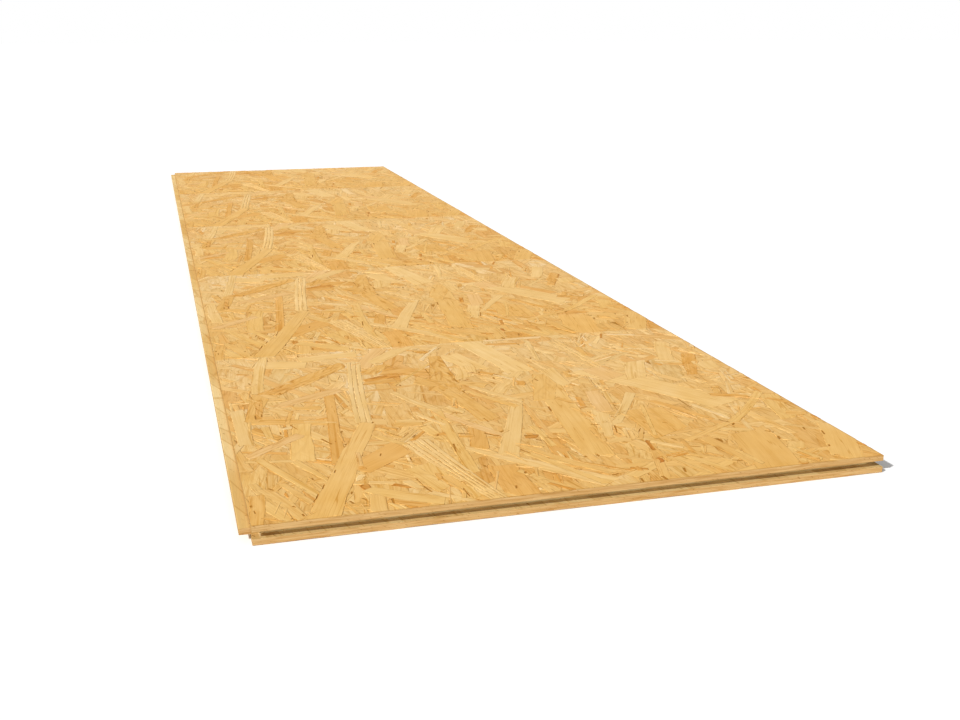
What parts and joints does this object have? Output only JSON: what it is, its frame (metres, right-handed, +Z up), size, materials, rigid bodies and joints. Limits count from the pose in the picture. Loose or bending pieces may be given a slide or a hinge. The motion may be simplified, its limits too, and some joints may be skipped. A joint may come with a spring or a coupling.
{
  "type": "tongue and groove osb panel",
  "caption": "Flat oriented strand board floor panel with a tongue milled along a long edge and an end, and the matching groove along the edges opposite.",
  "frame": {"origin": "middle of the laid face on the underside: the area that one panel covers on the floor, without its tongues", "axes": "+X across the width, from the tongued long edge to the grooved one; +Y along the length, from the grooved end to the tongued one; +Z up, out of the top face"},
  "size_m": [0.6, 2.45, 0.018],
  "materials": {
    "osb": "pressed softwood strands in resin, unsanded, satin"
  },
  "bodies": {
    "root": {"osb_panel": "osb"}
  },
  "joints": []
}
